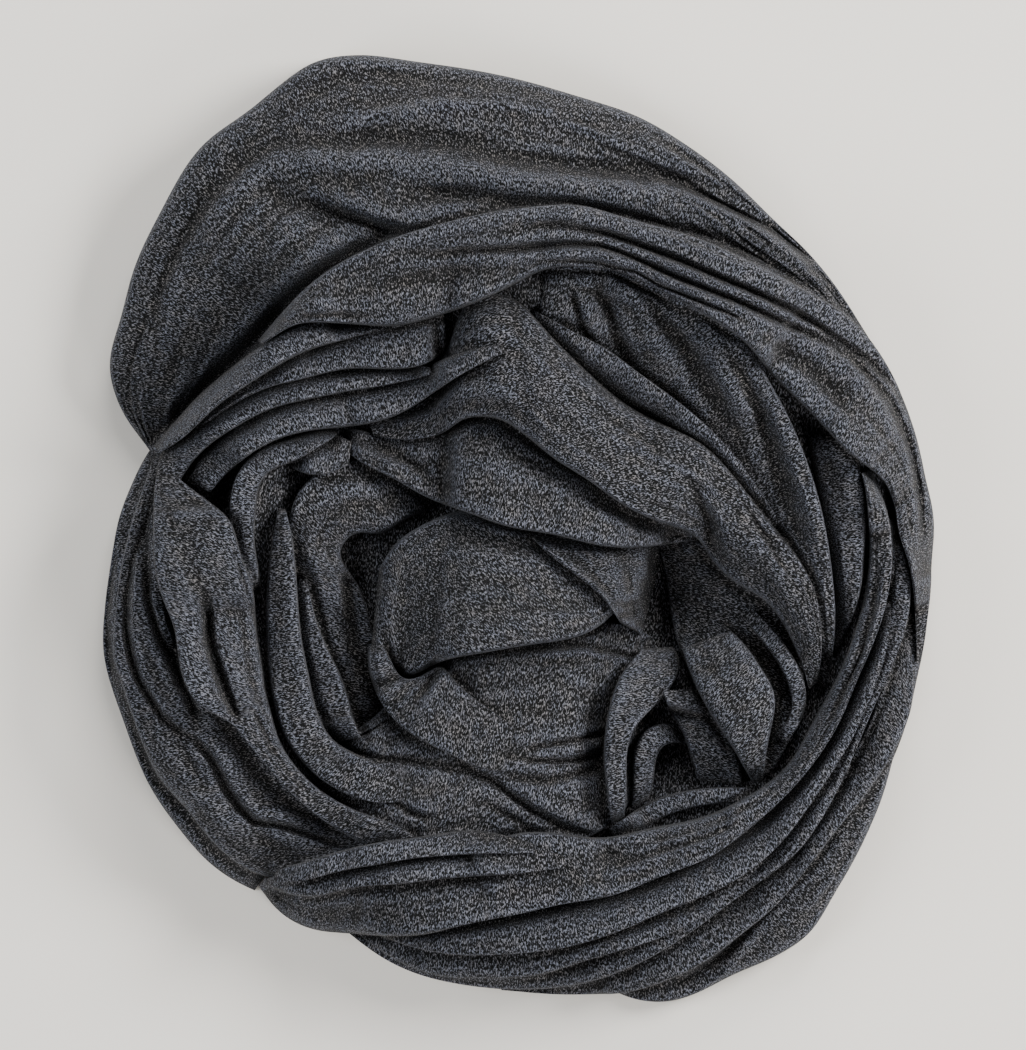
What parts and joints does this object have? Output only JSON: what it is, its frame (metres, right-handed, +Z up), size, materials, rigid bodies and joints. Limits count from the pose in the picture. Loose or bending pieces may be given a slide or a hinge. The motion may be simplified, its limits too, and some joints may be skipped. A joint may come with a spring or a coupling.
{
  "type": "hijab",
  "caption": "Heather jersey hijab wound on itself and dropped in a round nest, with a hollow middle, soft rolled folds and wide outer wraps. Lies on a flat surface.",
  "frame": {"origin": "centre of the bounding box, on the surface that the scarf rests on", "axes": "+Z up from the surface, +Y along the nest's longest side towards the wide outer wrap, +X to the right"},
  "size_m": [0.3166, 0.3617, 0.0697],
  "materials": {
    "heather_jersey": "matt charcoal heather knit with light flecks"
  },
  "bodies": {
    "root": {"hidden_layers": "heather_jersey", "nest_back": "heather_jersey", "nest_right": "heather_jersey", "nest_floor": "heather_jersey", "corner_end": "heather_jersey", "right_skirt": "heather_jersey", "left_skirt": "heather_jersey", "outer_wrap": "heather_jersey", "hem_band": "heather_jersey", "lower_band": "heather_jersey", "middle_band": "heather_jersey", "upper_band": "heather_jersey", "left_wrap": "heather_jersey", "right_inner_fold": "heather_jersey", "nest_rib_inner": "heather_jersey", "nest_rib_outer": "heather_jersey", "nest_pillow": "heather_jersey", "pillow_curl": "heather_jersey", "pillow_side": "heather_jersey", "hollow_fold": "heather_jersey", "upright_fold": "heather_jersey", "corner_lining": "heather_jersey", "right_rib": "heather_jersey", "folded_corner": "heather_jersey", "rim_fold": "heather_jersey", "under_flap": "heather_jersey", "right_sweep": "heather_jersey", "flap_edge_roll": "heather_jersey", "middle_flap": "heather_jersey", "rope": "heather_jersey", "nest_drape": "heather_jersey", "turned_fold": "heather_jersey", "inner_arc": "heather_jersey", "middle_arc": "heather_jersey", "left_flap": "heather_jersey", "broad_arc": "heather_jersey", "outer_arc": "heather_jersey", "top_wrap": "heather_jersey", "thin_band_outer": "heather_jersey", "thin_band_inner": "heather_jersey"}
  },
  "joints": []
}
